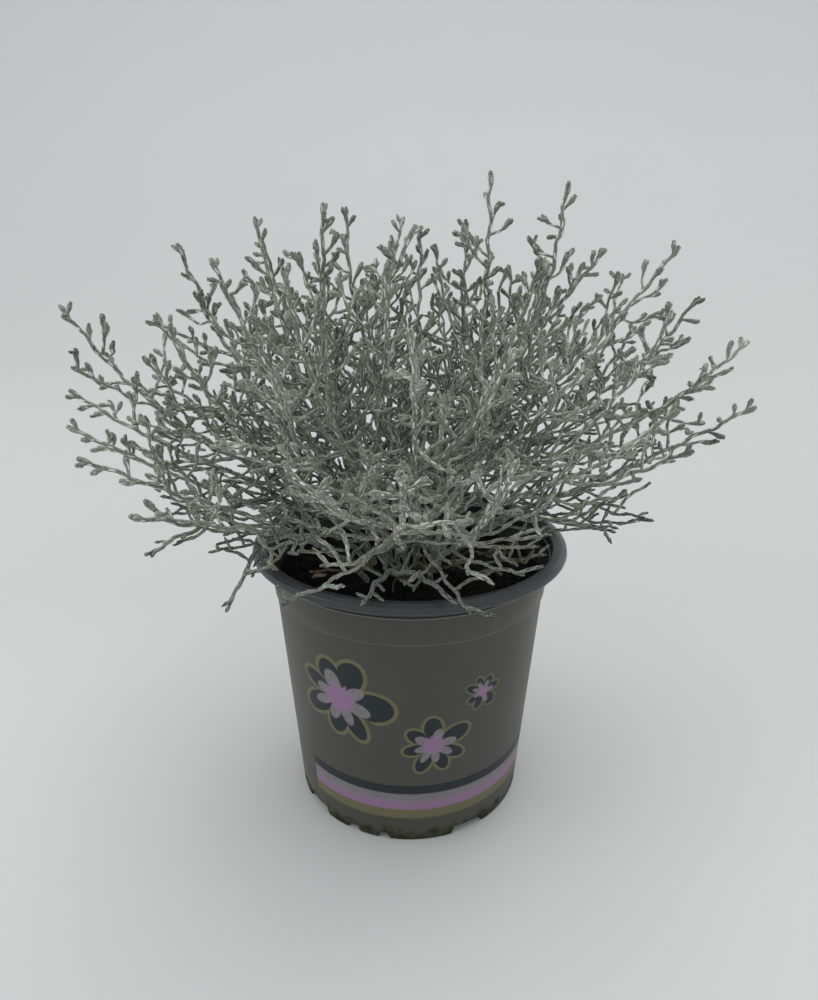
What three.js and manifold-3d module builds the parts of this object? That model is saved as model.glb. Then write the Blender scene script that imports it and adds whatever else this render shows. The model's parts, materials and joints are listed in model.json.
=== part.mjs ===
// A cushion bush (silver wire-netting bush) growing in a plastic nursery pot.
// Millimetres, +Z up. The origin is the centre of the pot's foot, on the surface it stands on.
// -Y is the side of the pot with the printed flowers, and +X is to the right of it.
//
// The plant is a tangle of thin felted stems. Each leader stands in its own hole in the soil and
// forks low into two limbs. Every limb carries side shoots, and the longer shoots carry short
// club-ended twiglets. A leader and all that grows from it is one solid. Twigs of different
// leaders never touch: a shoot that would meet another leader's is turned or shortened.
import * as THREE from "three";
import { mergeVertices } from "three/addons/utils/BufferGeometryUtils.js";
import Module from "manifold-3d";

const wasm = await Module();
wasm.setup();

// Driving dimensions of the pot
const POT_HEIGHT = 93;
const RIM_RADIUS = 52.5;
const RIM_INNER_RADIUS = 47.6;
const COLLAR_RADIUS = 45.4; // at the step under the collar
const COLLAR_HEIGHT = 16.5; // from that step to the top of the rim
const FOOT_RADIUS = 39.7;
const WALL = 1.1;
const FLOOR_HEIGHT = 3.6; // underside of the pot's floor
const FOOT_RING = 4.6; // radial width of the ring that the pot stands on
const POT_SIDES = 40;
const GAPS = [-143, -60, 39, 120]; // bearings of the wide gaps between the feet, degrees
const GAP_WIDTH = 11.2;
const GAP_RISE = 3.0;
const NICKS = [-118, -102, -10, 62, 78, 170]; // bearings of the small nicks in the feet
const NICK_WIDTH = 3.6;
const NICK_RISE = 2.0;
const DRAINS = 5; // in a circle, with one more in the middle
const DRAIN_RADIUS = 3;
const DRAIN_CIRCLE = 22;

// Driving dimensions of the soil
const SOIL_LEVEL = 80.5; // at the pot's wall
const SOIL_MOUND = 2.5; // how much higher the middle is
const SOIL_GAP = 0.3; // between the soil's solid and the pot's
const SOIL_SIDES = 24;
const BURIED = 7; // length of each stem inside its hole
const HOLE_CLEARANCE = 0.5;

// Driving dimensions of the plant
const CROWN_HEIGHT = 84; // all limbs are aimed from this point on the axis
const ROOT_SPREAD = 19; // leaders stand within this radius
const LEADER_RADIUS = 1.35;
const DEAD_RADIUS = 1.0;
const LIMB_TIP_RADIUS = 0.85;
const SHOOT_RADIUS = 0.9;
const TWIGLET_RADIUS = 0.8;
const CLUB_RADIUS = 1.2; // the swollen end of every shoot and twiglet
const TWIG_GAP = 0.4; // least air between twigs that don't grow from each other
const ROOT_SPACING = 5;
const LIMB_STEP = 22; // between the bends of a limb
const WOBBLE = 2.4;
const RIGHT_REACH = 80; // how far the even spread of limbs goes to the right
const RIGHT_RISE = 45; // and how much more steeply its lowest limbs rise there
const FRONT_RISE = 30; // and at the front
const LIMB_SPACING = 11.5; // degrees between two limbs, seen from the crown
const FORK_ANGLE = 0.75; // radians, from a leader's first limb to a limb that forks off it
const FLATTEST = 20; // limbs that rise less than this many degrees arch over and droop
const DROOP = 0.42;
const UPTURN = 0.16;
const LOWEST_RISE = 20;
const DOME_POINTS = 120;
const LEADERS = 36;
const BARE_SHARE = 0.3; // of each limb's length has no shoots
const SHOOT_SPACING = 23;
const SHOOT_SHARE = 0.5; // a shoot's length, as a share of the limb beyond it
const SHORTEST_SHOOT = 4.5;
const LONGEST_SHOOT = 36;
const LONGEST_STRAIGHT = 12; // longer shoots are bent
const SHORTEST_TWIGLET = 3.5;
const SHORTEST_HOST = 9; // the shortest shoot with twiglets
const TWIGLET_SPACING = 15;
const SHOOT = { radius: SHOOT_RADIUS, lean: 50, least: 4, fromTip: 3.5, turnUp: 0.4 };
const TWIGLET = { radius: TWIGLET_RADIUS, lean: 60, least: 3, fromTip: 3, turnUp: 0.1 };
const STEEPEST_FALL = -0.3; // no shoot points further down than this, as a sine
const FIRST_SEED = 4711;
const GOLDEN_ANGLE = 137.508;

// The bush stays inside these limits.
const SPREAD_X = 109.5;
const SPREAD_Y = 99;
const TOP = 207;
const LOWEST_TWIG = 72;

// Limbs that give the plant its outline, seen from the front: bearing, rise and reach from the crown.
const OUTLINE = [
  [180, 38, 136], [176, 55, 124], [-177, 29, 121], [-166, 27, 114], [163, 65, 121],
  [148, 60, 119], [122, 70, 121], [80, 80, 108], [23, 78, 125], [62, 70, 117],
  [17, 67, 130], [19, 56, 121], [8, 50, 132], [6, 43, 126], [0, 35, 128],
  [-4, 27, 120], [-14, 27, 97], [-140, 2, 68], [-155, 11, 86],
  [-103, 11, 58], [-77, 11, 57], [-91, 32, 114],
];

// Short brown dead twigs, low at the front: bearing, rise and reach from the crown.
const DEAD = [
  [-50, 17, 54], [-63, 15, 50], [-126, 15, 50],
];

const vector = (x, y, z) => new THREE.Vector3(x, y, z);
const radians = THREE.MathUtils.degToRad;

// Park and Miller's random numbers, from 0 to 1.
function randomFrom(seed) {
  let state = (seed * 7919) % 2147483647;
  return () => {
    state = (state * 16807) % 2147483647;
    return state / 2147483647;
  };
}

function direction(bearing, rise) {
  const b = radians(bearing);
  const r = radians(rise);
  return vector(Math.cos(r) * Math.cos(b), Math.cos(r) * Math.sin(b), Math.sin(r));
}

function solidOf(geometry) {
  geometry.deleteAttribute("normal");
  geometry.deleteAttribute("uv");
  const merged = mergeVertices(geometry, 1e-4);
  return new wasm.Manifold(
    new wasm.Mesh({
      numProp: 3,
      vertProperties: merged.attributes.position.array,
      triVerts: new Uint32Array(merged.index.array),
    }),
  );
}

function meshOf(name, solid, material) {
  const cut = solid.getMesh();
  const geometry = new THREE.BufferGeometry();
  geometry.setAttribute("position", new THREE.BufferAttribute(cut.vertProperties, 3));
  geometry.setIndex(new THREE.BufferAttribute(cut.triVerts, 1));
  geometry.computeVertexNormals();
  const mesh = new THREE.Mesh(geometry, material);
  mesh.name = name;
  return mesh;
}

// A turned body about the Z axis, from a profile of [radius, height] pairs.
function turned(profile, sides) {
  const geometry = new THREE.LatheGeometry(profile.map(([r, z]) => new THREE.Vector2(r, z)), sides);
  return geometry.rotateX(Math.PI / 2);
}

// A block that cuts a notch across the foot ring at a bearing.
function footNotch(bearing, width, rise) {
  const block = new THREE.BoxGeometry(4 * FOOT_RING, width, 2 * rise);
  block.translate(FOOT_RADIUS, 0, 0).rotateZ(radians(bearing));
  return solidOf(block);
}

function potWallRadius(z) {
  const step = POT_HEIGHT - COLLAR_HEIGHT;
  return FOOT_RADIUS + ((COLLAR_RADIUS - FOOT_RADIUS) * z) / step;
}

function makePot() {
  const step = POT_HEIGHT - COLLAR_HEIGHT;
  const inside = FOOT_RADIUS - FOOT_RING;
  const outer = [
    [0, FLOOR_HEIGHT],
    [inside - 0.6, FLOOR_HEIGHT],
    [inside, 0],
    [FOOT_RADIUS - 0.5, 0],
    [FOOT_RADIUS, 0.7],
    [COLLAR_RADIUS, step],
    [COLLAR_RADIUS + 0.5, step + 0.3],
    [COLLAR_RADIUS + 1.3, POT_HEIGHT - 6.6],
    [COLLAR_RADIUS + 1.8, POT_HEIGHT - 6.2],
  ];
  const lip = [
    [COLLAR_RADIUS + 2.0, POT_HEIGHT - 3.7],
    [RIM_RADIUS - 1.0, POT_HEIGHT - 3.4],
    [RIM_RADIUS, POT_HEIGHT - 2.6],
    [RIM_RADIUS - 0.6, POT_HEIGHT - 0.6],
    [RIM_RADIUS - 1.9, POT_HEIGHT],
    [RIM_INNER_RADIUS, POT_HEIGHT - 1.2],
  ];
  const inner = [
    [COLLAR_RADIUS + 0.6 - WALL, step],
    [COLLAR_RADIUS - WALL, step - 0.8],
    [potWallRadius(FLOOR_HEIGHT + 2) - WALL, FLOOR_HEIGHT + 2],
    [potWallRadius(FLOOR_HEIGHT) - WALL - 1, FLOOR_HEIGHT + WALL],
    [0, FLOOR_HEIGHT + WALL],
  ];
  const geometry = turned([...outer, ...lip, ...inner], POT_SIDES);
  let pot = solidOf(geometry);
  for (const bearing of GAPS) pot = pot.subtract(footNotch(bearing, GAP_WIDTH, GAP_RISE));
  for (const bearing of NICKS) pot = pot.subtract(footNotch(bearing, NICK_WIDTH, NICK_RISE));
  for (let k = 0; k <= DRAINS; k++) {
    const hole = new THREE.CylinderGeometry(DRAIN_RADIUS, DRAIN_RADIUS, 8, 7).rotateX(Math.PI / 2);
    const b = radians(k * (360 / DRAINS));
    const r = k === DRAINS ? 0 : DRAIN_CIRCLE;
    hole.translate(r * Math.cos(b), r * Math.sin(b), FLOOR_HEIGHT);
    pot = pot.subtract(solidOf(hole));
  }
  return pot;
}

// The height of the soil: a low mound with soft lumps.
function soilHeight(x, y) {
  const out = Math.hypot(x, y) / COLLAR_RADIUS;
  const small = 0.45 * Math.sin(x * 0.31 + 1) * Math.cos(y * 0.27);
  const lumps = small + 0.3 * Math.sin(x * 0.13 - y * 0.49);
  return SOIL_LEVEL + SOIL_MOUND * (1 - out * out) + lumps;
}

function makeSoil(roots) {
  const step = POT_HEIGHT - COLLAR_HEIGHT;
  const gap = WALL + SOIL_GAP;
  const bottom = FLOOR_HEIGHT + WALL + SOIL_GAP;
  const edge = COLLAR_RADIUS + 0.6 - gap;
  const rings = [edge * 0.985, edge * 0.72, edge * 0.4, 0];
  const profile = [
    [0, bottom],
    [potWallRadius(bottom) - gap - 2.2, bottom],
    [potWallRadius(bottom + 3) - gap - 0.3, bottom + 3],
    [COLLAR_RADIUS - gap, step - 1.4],
    [edge, SOIL_LEVEL - 1.5],
    ...rings.map((r) => [r, SOIL_LEVEL]),
  ];
  const geometry = turned(profile, SOIL_SIDES);
  const at = geometry.attributes.position;
  for (let i = 0; i < at.count; i++) {
    if (at.getZ(i) > SOIL_LEVEL - 0.1) at.setZ(i, soilHeight(at.getX(i), at.getY(i)));
  }
  let soil = solidOf(geometry);
  for (const root of roots) {
    const radius = (root.radius + HOLE_CLEARANCE) / Math.cos(Math.PI / 4);
    const top = soilHeight(root.x, root.y);
    const hole = new THREE.CylinderGeometry(radius, radius, BURIED + 4, 4).rotateX(Math.PI / 2);
    hole.translate(root.x, root.y, top + 4 - (BURIED + 4) / 2 - HOLE_CLEARANCE);
    soil = soil.subtract(solidOf(hole));
  }
  return soil;
}

const span = (piece) => vector().subVectors(piece.b, piece.a);

// The shortest distance between two straight pieces of twig.
function distanceBetween(p, q) {
  const d1 = span(p);
  const d2 = span(q);
  const r = vector().subVectors(p.a, q.a);
  const [a, e, f, c, b] = [d1.dot(d1), d2.dot(d2), d2.dot(r), d1.dot(r), d1.dot(d2)];
  const denominator = a * e - b * b;
  let s = denominator > 1e-9 ? THREE.MathUtils.clamp((b * f - c * e) / denominator, 0, 1) : 0;
  let t = (b * s + f) / e;
  if (t < 0) {
    t = 0;
    s = THREE.MathUtils.clamp(-c / a, 0, 1);
  } else if (t > 1) {
    t = 1;
    s = THREE.MathUtils.clamp((b - c) / a, 0, 1);
  }
  return p.a.clone().addScaledVector(d1, s).distanceTo(q.a.clone().addScaledVector(d2, t));
}

// All twigs grown so far, as straight pieces sorted into cubic cells.
function makeThicket() {
  const cell = 10;
  const cells = new Map();
  const piecesOf = (twig) =>
    twig.points.slice(1).map((b, i) => ({ a: twig.points[i], b, radius: twig.thickest, twig }));
  const keysAround = (piece) => {
    const low = piece.a.clone().min(piece.b).subScalar(2).divideScalar(cell).floor();
    const high = piece.a.clone().max(piece.b).addScalar(2).divideScalar(cell).floor();
    const keys = [];
    for (let x = low.x; x <= high.x; x++) {
      for (let y = low.y; y <= high.y; y++) {
        for (let z = low.z; z <= high.z; z++) keys.push(`${x} ${y} ${z}`);
      }
    }
    return keys;
  };
  const touches = (piece, other, parent) =>
    other.twig !== parent && distanceBetween(piece, other) < piece.radius + other.radius + TWIG_GAP;
  return {
    add(twig) {
      for (const piece of piecesOf(twig)) {
        for (const key of keysAround(piece)) cells.set(key, [...(cells.get(key) ?? []), piece]);
      }
    },
    hasRoomFor(twig, parent) {
      const isFree = (piece, key) =>
        !(cells.get(key) ?? []).some((other) => touches(piece, other, parent));
      return piecesOf(twig).every((piece) => keysAround(piece).every((key) => isFree(piece, key)));
    },
  };
}

// True where a twig may be: inside the bush's outline, and clear of the soil and of the pot's rim.
function isOpenAir(point) {
  const out = Math.hypot(point.x, point.y);
  if (Math.abs(point.x) > SPREAD_X || Math.abs(point.y) > SPREAD_Y || point.z > TOP) return false;
  if (out < COLLAR_RADIUS - 3) return point.z > soilHeight(point.x, point.y) + 1.8;
  return out < RIM_RADIUS + 3 ? point.z > POT_HEIGHT + 2 : point.z > LOWEST_TWIG;
}

function isOpenPath(points) {
  return points.slice(1).every((b, i) => {
    const a = points[i];
    return [0.25, 0.5, 0.75, 1].every((t) => isOpenAir(a.clone().lerp(b, t)));
  });
}

function makeTwig(leader, points, startRadius, endRadius, sides) {
  const last = points.length - 1;
  const radii = points.map((_, i) => startRadius + ((endRadius - startRadius) * i) / last);
  if (leader !== null) radii[0] *= 0.6;
  return { leader, points, radii, sides, thickest: Math.max(startRadius, endRadius) };
}

// A limb leaves the soil upright, bends outwards and ends at its reach from the crown. The low
// ones arch over the pot's rim and droop; the others turn up towards their tips.
function limbPoints(start, bearing, rise, reach, arch, random) {
  const tip = vector(0, 0, CROWN_HEIGHT).addScaledVector(direction(bearing, rise), reach);
  const chord = vector().subVectors(tip, start);
  const length = chord.length();
  const across = direction(bearing + 90, 0);
  const lift = vector().crossVectors(chord, across).normalize().multiplyScalar(-arch * length);
  if (lift.z * arch < 0) lift.negate();
  const first = start.clone().add(vector(0, 0, 0.13 * length));
  const second = start.clone().addScaledVector(chord, 0.65).add(lift);
  const curve = new THREE.CubicBezierCurve3(start, first, second, tip);
  const steps = Math.max(4, Math.round(length / LIMB_STEP));
  return curve.getPoints(steps).map((point, i) => {
    const shift = vector(random() - 0.5, random() - 0.5, random() - 0.5).multiplyScalar(WOBBLE);
    return i === 0 || i === steps ? point : point.add(shift);
  });
}

function archFor(rise) {
  return rise < FLATTEST ? DROOP * (1 - rise / FLATTEST) : -UPTURN * Math.min(1, (rise - FLATTEST) / 15);
}

// A free place in the soil for a leader that heads for this bearing and rise.
function findRoots(bearing, rise, taken, random) {
  const places = [];
  for (let k = 0; k < 40; k++) {
    const turn = (random() - 0.5) * (20 + 5 * k);
    const out = ROOT_SPREAD * (0.2 + 0.8 * (1 - rise / 90)) + (random() - 0.5) * (2 + 0.4 * k);
    const place = direction(bearing + turn, 0).multiplyScalar(Math.max(0, out));
    const isFree = (root) => Math.hypot(root.x - place.x, root.y - place.y) > ROOT_SPACING;
    if (taken.every(isFree)) places.push(place);
  }
  return places;
}

function growLeader(thicket, leaders, { bearing, rise, reach, seed, radius }) {
  const random = randomFrom(seed);
  for (const [k, place] of findRoots(bearing, rise, leaders, random).entries()) {
    const ground = soilHeight(place.x, place.y);
    const start = vector(place.x, place.y, ground + 2);
    const arch = archFor(rise) + 0.006 * k + 0.04 * random();
    const points = limbPoints(start, bearing, rise, reach, arch, random);
    if (!isOpenPath(points)) continue;
    const buried = vector(place.x, place.y, ground - BURIED + 0.5);
    const twig = makeTwig(null, [buried, ...points], radius, LIMB_TIP_RADIUS, 4);
    if (!thicket.hasRoomFor(twig, null)) continue;
    const leader = { x: place.x, y: place.y, radius, seed, twigs: [twig], limbs: [twig] };
    twig.leader = leader;
    Object.assign(twig, { bearing, rise });
    thicket.add(twig);
    return leader;
  }
  return null;
}

// A limb forks off low on a leader and heads for a part of the bush with no limb yet.
function growFork(thicket, leader, bearing, rise, reach) {
  const parent = leader.limbs[0];
  const random = randomFrom(leader.seed + 7 * leader.limbs.length);
  for (let k = 2; k < 5; k++) {
    const start = parent.points[k].clone();
    const points = limbPoints(start, bearing, rise, reach, archFor(rise) * 0.6, random);
    if (!isOpenPath(points)) continue;
    const twig = makeTwig(leader, points, parent.radii[k] * 0.9, LIMB_TIP_RADIUS, 4);
    if (!thicket.hasRoomFor(twig, parent)) continue;
    Object.assign(twig, { bearing, rise });
    thicket.add(twig);
    leader.twigs.push(twig);
    leader.limbs.push(twig);
    return true;
  }
  return false;
}

// The directions of the limbs: the outline's first, then an even spread over the dome.
function limbAims() {
  const aims = OUTLINE.map(([bearing, rise, reach]) => ({ bearing, rise, reach }));
  for (let k = 0; k < DOME_POINTS; k++) {
    const height = 1 - (k + 0.5) / DOME_POINTS * (1 - Math.sin(radians(LOWEST_RISE)));
    const rise = THREE.MathUtils.radToDeg(Math.asin(height));
    const bearing = THREE.MathUtils.euclideanModulo(k * GOLDEN_ANGLE + 180, 360) - 180;
    const toCamera = Math.max(0, -Math.sin(radians(bearing))) * Math.cos(radians(rise));
    const here = direction(bearing, rise);
    const across = (here.x > 0 ? RIGHT_REACH : SPREAD_X - 1.5) / Math.abs(here.x);
    const sideways = Math.min(across, (SPREAD_Y - 1.5) / Math.abs(here.y));
    const reach = Math.min(117 - 9 * toCamera + 8 * Math.sin(k * 2.4), sideways);
    const isClear = (aim) => direction(aim.bearing, aim.rise).angleTo(here) > radians(LIMB_SPACING);
    const lowest = Math.max(RIGHT_RISE * here.x, -FRONT_RISE * here.y);
    if (rise > lowest && aims.every(isClear)) aims.push({ bearing, rise, reach });
  }
  return aims;
}

function growLimbs(thicket) {
  const leaders = [];
  limbAims().forEach(({ bearing, rise, reach }, i) => {
    const aim = direction(bearing, rise);
    const isNear = ({ limbs }) => {
      const heading = direction(limbs[0].bearing, limbs[0].rise);
      return limbs.length < 2 && heading.angleTo(aim) < FORK_ANGLE;
    };
    const hosts = i < OUTLINE.length / 2 ? [] : leaders.filter(isNear);
    for (const turn of [0, 4, -4, 8, -8]) {
      if (hosts.some((leader) => growFork(thicket, leader, bearing + turn, rise, reach))) return;
      const seed = FIRST_SEED + 101 * i;
      const form = { bearing: bearing + turn, rise, reach, seed, radius: LEADER_RADIUS };
      const leader = leaders.length < LEADERS ? growLeader(thicket, leaders, form) : null;
      if (leader) return leaders.push(leader);
    }
  });
  DEAD.forEach(([bearing, rise, reach], i) => {
    const seed = 2 * FIRST_SEED + 101 * i;
    const leader = growLeader(thicket, leaders, { bearing, rise, reach, seed, radius: DEAD_RADIUS });
    if (leader) leaders.push(Object.assign(leader, { isDead: true }));
  });
  return leaders;
}

// The point at a distance along a twig, and the twig's direction there.
function placeOn(twig, distance) {
  let left = distance;
  for (let i = 1; i < twig.points.length; i++) {
    const piece = { a: twig.points[i - 1], b: twig.points[i] };
    const length = piece.a.distanceTo(piece.b);
    if (left <= length || i === twig.points.length - 1) {
      const along = span(piece).normalize();
      return { point: piece.a.clone().addScaledVector(along, Math.min(left, length)), along };
    }
    left -= length;
  }
  return null;
}

function lengthOf(twig) {
  return twig.points.slice(1).reduce((sum, b, i) => sum + b.distanceTo(twig.points[i]), 0);
}

function squareTo(along) {
  const helper = Math.abs(along.z) > 0.9 ? vector(1, 0, 0) : vector(0, 0, 1);
  return vector().crossVectors(along, helper).normalize();
}

// Grows one side shoot, first turned around its parent and then shortened until it has room.
function growShoot(thicket, parent, distance, length, roll, random, form) {
  const { point, along } = placeOn(parent, distance);
  for (let k = 0; k < 8; k++) {
    const lean = radians(form.lean + 25 * (random() - 0.5));
    const side = squareTo(along).applyAxisAngle(along, roll + k * 0.9);
    const out = along.clone().multiplyScalar(Math.cos(lean)).addScaledVector(side, Math.sin(lean));
    const reach = length * (k < 4 ? 1 : 0.6);
    const elbow = point.clone().addScaledVector(out, reach * 0.5);
    const onward = out.clone().addScaledVector(along, 0.3).add(vector(0, 0, form.turnUp)).normalize();
    const tip = elbow.clone().addScaledVector(onward, reach * 0.5);
    const points = reach > LONGEST_STRAIGHT ? [point, elbow, tip] : [point, tip];
    if (reach < form.least || out.z < STEEPEST_FALL || !isOpenPath(points)) continue;
    const twig = makeTwig(parent.leader, points, form.radius, CLUB_RADIUS, 3);
    if (!thicket.hasRoomFor(twig, parent)) continue;
    thicket.add(twig);
    parent.leader.twigs.push(twig);
    return twig;
  }
  return null;
}

function growShoots(thicket, leaders) {
  const shoots = [];
  for (const limb of leaders.flatMap((leader) => leader.limbs)) {
    const length = lengthOf(limb);
    const random = randomFrom(limb.leader.seed + 31 + limb.leader.limbs.indexOf(limb));
    let roll = random() * 6.28;
    let at = length - SHOOT.fromTip;
    while (at > length * BARE_SHARE) {
      const wanted = SHOOT_SHARE * (length - at) * (0.75 + 0.5 * random());
      const reach = THREE.MathUtils.clamp(wanted, SHORTEST_SHOOT, LONGEST_SHOOT);
      const shoot = growShoot(thicket, limb, at, reach, roll, random, SHOOT);
      if (shoot) shoots.push(shoot);
      roll += radians(GOLDEN_ANGLE);
      at -= SHOOT_SPACING * (0.8 + 0.4 * random());
    }
  }
  return shoots;
}

function growTwiglets(thicket, shoots) {
  shoots.forEach((shoot, i) => {
    const length = lengthOf(shoot);
    const random = randomFrom(FIRST_SEED + 13 * i);
    let roll = random() * 6.28;
    let at = length - TWIGLET.fromTip;
    while (at > length * 0.3 && length > SHORTEST_HOST) {
      growShoot(thicket, shoot, at, SHORTEST_TWIGLET + 4 * random(), roll, random, TWIGLET);
      roll += radians(GOLDEN_ANGLE);
      at -= TWIGLET_SPACING * (0.8 + 0.4 * random());
    }
  });
}

// A tube through the twig's points, with a blunt point past its last ring.
function tubeOf({ points, radii, sides }) {
  const last = points.length - 1;
  const geometry = new THREE.CylinderGeometry(1, 1, 1, sides, last);
  const at = geometry.attributes.position;
  const first = span({ a: points[0], b: points[1] });
  const level = vector().crossVectors(first, span({ a: points[0], b: points[last] }));
  const square = level.length() > 0.3 ? level.normalize() : squareTo(first.normalize());
  for (let i = 0; i < at.count; i++) {
    const k = Math.round((at.getY(i) + 0.5) * last);
    const before = points[Math.max(0, k - 1)];
    const after = points[Math.min(last, k + 1)];
    const along = vector().subVectors(after, before).normalize();
    const u = square.clone().addScaledVector(along, -square.dot(along)).normalize();
    const w = vector().crossVectors(u, along);
    const isCapCentre = Math.hypot(at.getX(i), at.getZ(i)) < 0.5;
    const point = points[k].clone().addScaledVector(u, at.getX(i) * radii[k]);
    point.addScaledVector(w, at.getZ(i) * radii[k]);
    if (isCapCentre && k === last) point.addScaledVector(along, CLUB_RADIUS * 0.7);
    at.setXYZ(i, point.x, point.y, point.z);
  }
  return solidOf(geometry);
}

function felted(name, colour, roughness) {
  return new THREE.MeshStandardMaterial({ name, color: colour, roughness, metalness: 0 });
}

function makePlant() {
  const thicket = makeThicket();
  const leaders = growLimbs(thicket);
  const shoots = growShoots(thicket, leaders);
  growTwiglets(thicket, shoots);
  return leaders;
}

function addStem(name, leader, colour) {
  const solid = wasm.Manifold.union(leader.twigs.map(tubeOf));
  group.add(meshOf(name, solid, felted(name, colour, 0.85)));
}

const group = new THREE.Group();
const leaders = makePlant();
group.add(meshOf("pot", makePot(), felted("pot_plastic", 0x5a584f, 0.45)));
group.add(meshOf("soil", makeSoil(leaders), felted("soil", 0x17130f, 0.95)));
const living = leaders.filter((leader) => !leader.isDead);
const dead = leaders.filter((leader) => leader.isDead);
living.forEach((leader, i) => addStem(`stem_${String(i + 1).padStart(2, "0")}`, leader, 0xa3aa9c));
dead.forEach((leader, i) => addStem(`dead_twig_${i + 1}`, leader, 0x6b5641));

export default group;
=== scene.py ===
# A cushion bush in a printed nursery pot: the looks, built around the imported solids.
# The dictionaries hold millimetres and degrees. Meshes are in metres, +Z up.
import itertools
import json
import math
import bmesh
import bpy
import numpy as np
from mathutils import Matrix, Vector, noise

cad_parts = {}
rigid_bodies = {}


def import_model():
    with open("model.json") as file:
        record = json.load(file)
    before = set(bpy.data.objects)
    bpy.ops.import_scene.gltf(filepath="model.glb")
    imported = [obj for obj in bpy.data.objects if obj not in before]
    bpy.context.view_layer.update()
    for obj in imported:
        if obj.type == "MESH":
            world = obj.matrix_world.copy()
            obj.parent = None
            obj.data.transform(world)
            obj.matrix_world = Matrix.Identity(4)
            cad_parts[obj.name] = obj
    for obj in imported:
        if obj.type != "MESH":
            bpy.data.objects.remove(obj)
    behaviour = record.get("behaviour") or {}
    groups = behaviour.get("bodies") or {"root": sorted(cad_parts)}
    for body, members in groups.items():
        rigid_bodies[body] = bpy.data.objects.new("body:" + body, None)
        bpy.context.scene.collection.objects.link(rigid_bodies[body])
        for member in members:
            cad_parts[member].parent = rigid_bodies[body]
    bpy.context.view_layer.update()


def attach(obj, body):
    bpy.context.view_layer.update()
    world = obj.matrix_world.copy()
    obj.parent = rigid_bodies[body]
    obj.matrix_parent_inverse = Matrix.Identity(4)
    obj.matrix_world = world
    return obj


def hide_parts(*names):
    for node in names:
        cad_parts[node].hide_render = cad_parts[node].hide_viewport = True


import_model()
mm = 0.001

shot = {
    "place": (0.3, -220.96, 182.02),
    "aim": (-0.0025075, 0.94431551, -0.32903182),
    "roll": 0.1,
    "lens": 25.2,
    "keyWatts": 38.0,
    "fillWatts": 2.9,
    "backWatts": 24.0,
    "skyStrength": 0.80,
    # The paper's tone changes from front to back and up the wall. This is painted light and shade on an even
    # sheet: darker behind the pot and a little lighter again on the wall.
    "paper": (0.59, 0.595, 0.59),  # in front of the pot
    "paperFarShade": (0.515, 0.52, 0.515),  # behind it, darker as painted shade
    "wall": (0.545, 0.55, 0.55),
    "fade": (-0.06, 0.14),  # metres along Y over which the one turns into the other
    "wallHeight": 0.5,  # metres up, where the wall's tone is reached
    "paperSize": 2.0,  # metres from the middle of the sheet to its edge
    "paperDepth": 0.9,  # metres behind the pot where the curve starts
    "paperCurve": 1.6,
}


def nodeTree(name):
    mat = bpy.data.materials.new(name)
    mat.use_nodes = True
    return mat, mat.node_tree, mat.node_tree.nodes["Principled BSDF"]


def fill(tree, node, sockets):
    for key, value in dict(sockets).items():
        if hasattr(value, "is_output"):
            tree.links.new(value, node.inputs[key])
        else:
            node.inputs[key].default_value = value


def addNode(tree, kind, sockets=(), **settings):
    made = tree.nodes.new(kind)
    for key, value in settings.items():
        setattr(made, key, value)
    fill(tree, made, sockets)
    return made


def objectPlace(tree):
    return addNode(tree, "ShaderNodeTexCoord").outputs["Object"]


def opaque(colour, gain=1):
    return (*[c * gain for c in colour], 1)


def calc(tree, operation, *values):
    return addNode(tree, "ShaderNodeMath", dict(enumerate(values)), operation=operation).outputs[0]


def times(tree, a, b):
    return calc(tree, "MULTIPLY", a, b)


def tint(tree, factor, low, high, blend="MIX"):
    sockets = {0: factor, 6: low, 7: high}
    return addNode(tree, "ShaderNodeMix", sockets, data_type="RGBA", blend_type=blend).outputs[2]


def remap(tree, value, low, high, least=0.0, most=1.0):
    sockets = {0: value, 1: low, 2: high, 3: least, 4: most}
    return addNode(tree, "ShaderNodeMapRange", sockets).outputs[0]


def lengthOver(tree, across, along):
    place = addNode(tree, "ShaderNodeCombineXYZ", {0: across, 1: along}).outputs[0]
    return addNode(tree, "ShaderNodeVectorMath", {0: place}, operation="LENGTH").outputs["Value"]


def ramp(tree, factor, *stops):
    made = addNode(tree, "ShaderNodeValToRGB", {0: factor})
    points = made.color_ramp.elements
    while len(points) < len(stops):
        points.new(0.5)
    for point, (place, colour) in zip(points, stops):
        point.position = place
        point.color = opaque(colour)
    return made.outputs[0]


def noiseOf(tree, place, scale, detail=3.0, roughness=0.5):
    sockets = {"Vector": place, "Scale": scale, "Detail": detail, "Roughness": roughness}
    return addNode(tree, "ShaderNodeTexNoise", sockets).outputs[0]


def bump(tree, shader, height, strength, distance):
    sockets = {"Height": height, "Strength": strength, "Distance": distance * mm}
    fill(tree, shader, {"Normal": addNode(tree, "ShaderNodeBump", sockets).outputs[0]})


def finishPiece(bm, name, material):
    mesh = bpy.data.meshes.new(name)
    bm.to_mesh(mesh)
    bm.free()
    piece = bpy.data.objects.new(name, mesh)
    bpy.context.collection.objects.link(piece)
    mesh.materials.append(material)
    mesh.shade_smooth()
    return piece


def evaluatedMesh(piece):
    evaluated = piece.evaluated_get(bpy.context.evaluated_depsgraph_get())
    return bpy.data.meshes.new_from_object(evaluated)


# Camera, lights and paper

def setCamera():
    camera = bpy.data.objects.new("camera", bpy.data.cameras.new("camera"))
    bpy.context.collection.objects.link(camera)
    aim = Vector(shot["aim"])
    turn = aim.to_track_quat("-Z", "Y").to_matrix().to_4x4()
    roll = Matrix.Rotation(math.radians(shot["roll"]), 4, "Z")
    camera.matrix_world = Matrix.Translation(Vector(shot["place"]) * mm) @ turn @ roll
    camera.data.lens = shot["lens"]
    camera.data.sensor_width = 36
    camera.data.clip_start = 0.005
    bpy.context.scene.camera = camera


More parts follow.
